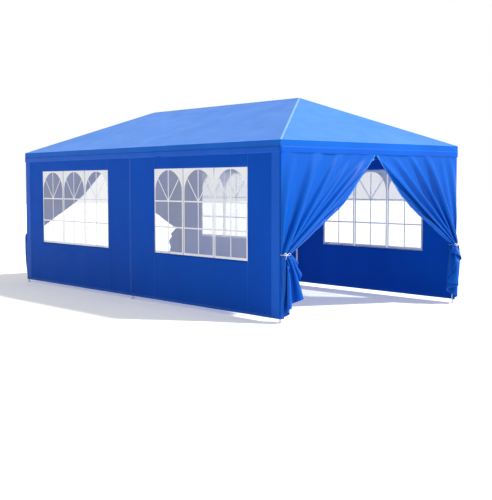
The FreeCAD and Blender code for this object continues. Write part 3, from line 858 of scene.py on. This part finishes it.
def simulated_door(waves, phase, seed):
    """Ties back one door half by cloth simulation and returns its points, row by row."""
    points, faces = grid(COLUMNS, ROWS, lambda u, v: flat_door(u, v, waves, phase))
    held = held_points()
    random = np.random.default_rng(seed)
    for index, point in enumerate(points):
        point.x += random.normal(0, JITTER)
        if index in held and point.z > FLAT_ROWS_DOWN_TO:
            point.x = DOOR_FACE
    mesh = bpy.data.meshes.new("door_simulation")
    mesh.from_pydata([tuple(point) for point in points], [], faces)
    cloth = bpy.data.objects.new("door_simulation", mesh)
    scene = bpy.context.scene
    scene.collection.objects.link(cloth)
    cloth.vertex_groups.new(name="held").add(list(held), 1.0, "REPLACE")
    cloth.shape_key_add(name="closed")
    tied = cloth.shape_key_add(name="tied")
    for index, place in held.items():
        tied.data[index].co = place
    tied.value = 0
    tied.keyframe_insert("value", frame=1)
    tied.value = 1
    tied.keyframe_insert("value", frame=TIE_FRAMES)
    simulation = cloth.modifiers.new("cloth", "CLOTH")
    settings = simulation.settings
    settings.quality = 6
    settings.mass = 0.15
    settings.tension_stiffness = 18
    settings.compression_stiffness = 18
    settings.shear_stiffness = 6
    settings.bending_stiffness = 4
    settings.tension_damping = 8
    settings.compression_damping = 8
    settings.shear_damping = 6
    settings.bending_damping = 0.7
    settings.air_damping = 1.5
    settings.vertex_group_mass = "held"
    simulation.collision_settings.use_self_collision = True
    simulation.collision_settings.self_distance_min = 0.004
    simulation.collision_settings.distance_min = 0.003
    simulation.point_cache.frame_start = 1
    simulation.point_cache.frame_end = TIE_FRAMES + SETTLE_FRAMES
    walls = door_colliders()
    for step in range(1, TIE_FRAMES + SETTLE_FRAMES + 1):
        scene.frame_set(step)
    tied_back = cloth.evaluated_get(bpy.context.evaluated_depsgraph_get())
    shape = bpy.data.meshes.new_from_object(tied_back)
    result = [vertex.co.copy() for vertex in shape.vertices]
    bpy.data.meshes.remove(shape)
    for item in [cloth, *walls]:
        data = item.data
        bpy.data.objects.remove(item)
        bpy.data.meshes.remove(data)
    scene.frame_set(1)
    return result


def door_curtain(end, side, shape):
    """One tied-back door half with the tape sewn down its free edge, the tape's lighter blue a
    painted highlight along the edge.
    """
    mirrored = [Vector((ENDS[end] * point.x, -SIDES[side] * point.y, point.z))
                for point in shape]
    faces = []
    edge_faces = []
    for row in range(ROWS):
        for column in range(COLUMNS):
            face = (number(column, row), number(column + 1, row), number(column + 1, row + 1),
                    number(column, row + 1))
            faces.append(face)
            if column == COLUMNS - 1:
                edge_faces.append(face)
    cloth = mesh_piece(f"door_curtain_cloth_{end}_{side}", mirrored, faces, DOOR, "wall_fabric",
                       sharp=180)
    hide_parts(f"door_curtain_{end}_{side}")
    band = mesh_piece(f"door_edge_band_{end}_{side}", mirrored, edge_faces, EDGE, "wall_fabric",
                      thickness=EDGE_THICKNESS, sharp=180)
    for piece in (cloth, band):
        finer = piece.modifiers.new("finer", "SUBSURF")
        finer.levels = 1
        finer.render_levels = 1
        piece.modifiers.move(1, 0)  # finer before thickness


door_shapes = [simulated_door(waves=0.9, phase=3.6, seed=7),
               simulated_door(waves=0.7, phase=2.6, seed=11)]
for end in ENDS:
    for side in SIDES:
        same_way = ENDS[end] * SIDES[side] < 0
        door_curtain(end, side, door_shapes[0 if same_way else 1])


# ---------------------------------------------------------------- ties

CORD_RADIUS = 0.0025
# How far the cord stands off the front of the neck, the back of the leg and their two sides.
FRONT_CLEAR = 0.002
BACK_CLEAR = 0.004
OUTER_CLEAR = 0.003
INNER_CLEAR = 0.006


def nurbs_cord(name, points):
    """A round white cord along a smooth open curve."""
    curve = bpy.data.curves.new(name, "CURVE")
    curve.dimensions = "3D"
    spline = curve.splines.new("NURBS")
    spline.points.add(len(points) - 1)
    for point, place in zip(spline.points, points):
        point.co = (*place, 1)
    spline.order_u = 3
    spline.use_endpoint_u = True
    curve.bevel_depth = CORD_RADIUS
    curve.bevel_resolution = 3
    curve.resolution_u = 8
    curve.use_fill_caps = True
    curve.materials.append(CORD)
    piece = bpy.data.objects.new(name, curve)
    bpy.context.scene.collection.objects.link(piece)
    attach(piece, BODY)
    return piece


# One cord tied in a bow, in the tie's own directions: outward, towards the middle of the door, up.
BOW = (
    (0.004, 0.034, -0.052), (0.006, 0.024, -0.026), (0.005, 0.010, -0.006),
    (0.004, 0.000, 0.004), (0.006, -0.016, 0.018), (0.010, -0.036, 0.022),
    (0.012, -0.046, 0.008), (0.008, -0.034, -0.008), (0.006, -0.014, -0.002),
    (0.007, 0.000, 0.002), (0.006, 0.016, 0.014), (0.010, 0.036, 0.020),
    (0.012, 0.048, 0.006), (0.008, 0.036, -0.008), (0.006, 0.014, -0.004),
    (0.005, 0.000, 0.001), (0.006, -0.012, -0.018), (0.008, -0.022, -0.048),
)


def tie(end, side):
    """The cord round the neck of the door and the leg, and its bow."""
    face = DOOR_FACE + NECK_DEPTH + FRONT_CLEAR
    near_leg = LEG_X - LEG_RADIUS - BACK_CLEAR
    outer = LEG_Y + LEG_RADIUS + OUTER_CLEAR
    inner = -(NECK_START + NECK_WIDTH) - INNER_CLEAR
    knot_y = (inner + outer) / 2
    loop = [(face, knot_y), (face, inner + 0.02), (face - 0.012, inner), (DOOR_FACE, inner - 0.002),
            (near_leg + 0.01, inner), (near_leg, inner + 0.012), (near_leg, outer - 0.012),
            (near_leg + 0.010, outer), (DOOR_FACE, outer), (face - 0.012, outer),
            (face, outer - 0.02), (face, knot_y)]

    def mirrored(x, y, z):
        return Vector((ENDS[end] * x, SIDES[side] * y, z))
    nurbs_cord(f"tie_loop_{end}_{side}", [mirrored(x, y, TIE_HEIGHT) for x, y in loop])
    bow = nurbs_cord(f"tie_bow_{end}_{side}",
                     [mirrored(face + out, knot_y - aside, TIE_HEIGHT + up)
                      for out, aside, up in BOW])
    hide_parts("door_ties")


for end in ENDS:
    for side in SIDES:
        tie(end, side)


# ---------------------------------------------------------------- floor, light, camera

FLOOR_REACH = 60


def floor():
    """A wide pale floor that glows a little, so that it meets the backdrop without a line."""
    reach = FLOOR_REACH
    mesh = bpy.data.meshes.new("floor")
    mesh.from_pydata([(-reach, -reach, 0), (reach, -reach, 0), (reach, reach, 0),
                      (-reach, reach, 0)], [], [(0, 1, 2, 3)])
    material, _, shader = principled("pale_floor", (0.9, 0.9, 0.9), 0.9, Emission_Strength=0.30,
                                     Specular_IOR_Level=0.1)
    shader.inputs["Emission Color"].default_value = (1, 1, 1, 1)
    mesh.materials.append(material)
    plane = bpy.data.objects.new("floor", mesh)
    bpy.context.scene.collection.objects.link(plane)


def direction(azimuth, elevation):
    """The way from the object to a viewer or light: degrees round from the front, and up."""
    a = math.radians(azimuth)
    e = math.radians(elevation)
    return Vector((math.sin(a) * math.cos(e), -math.cos(a) * math.cos(e), math.sin(e)))


def sun(name, azimuth, elevation, strength, angle):
    """A soft distant light from one direction."""
    data = bpy.data.lights.new(name, "SUN")
    data.energy = strength
    data.angle = math.radians(angle)
    lamp = bpy.data.objects.new(name, data)
    lamp.rotation_euler = direction(azimuth, elevation).to_track_quat("Z", "Y").to_euler()
    bpy.context.scene.collection.objects.link(lamp)


def world(ambient):
    """A white backdrop that is brighter to the eye and in gloss than it is as a light."""
    scene_world = bpy.data.worlds.new("studio")
    bpy.context.scene.world = scene_world
    scene_world.use_nodes = True
    tree = scene_world.node_tree
    background = tree.nodes["Background"]
    background.inputs["Color"].default_value = (1, 1, 1, 1)
    rays = tree.nodes.new("ShaderNodeLightPath")
    seen = tree.nodes.new("ShaderNodeMath")
    seen.operation = "MAXIMUM"
    strength = tree.nodes.new("ShaderNodeMapRange")
    strength.inputs["To Min"].default_value = ambient
    strength.inputs["To Max"].default_value = 1.0
    tree.links.new(rays.outputs["Is Camera Ray"], seen.inputs[0])
    tree.links.new(rays.outputs["Is Glossy Ray"], seen.inputs[1])
    tree.links.new(seen.outputs[0], strength.inputs["Value"])
    tree.links.new(strength.outputs["Result"], background.inputs["Strength"])


CAMERA_TARGET = Vector((0.14, 0.36, 0.58))
CAMERA_AZIMUTH = 50.7
CAMERA_ELEVATION = 3.8
CAMERA_DISTANCE = 14.0
CAMERA_LENS = 70.3


def camera():
    """The camera, looking at the target from its direction and distance."""
    data = bpy.data.cameras.new("camera")
    data.lens = CAMERA_LENS
    data.sensor_width = 36
    data.clip_end = 200
    eye = bpy.data.objects.new("camera", data)
    back = direction(CAMERA_AZIMUTH, CAMERA_ELEVATION)
    eye.location = CAMERA_TARGET + back * CAMERA_DISTANCE
    eye.rotation_euler = back.to_track_quat("Z", "Y").to_euler()
    bpy.context.scene.collection.objects.link(eye)
    bpy.context.scene.camera = eye


floor()
sun("key", azimuth=130, elevation=46, strength=4.5, angle=4)
world(ambient=0.40)
camera()
bpy.context.scene.view_settings.view_transform = "Standard"
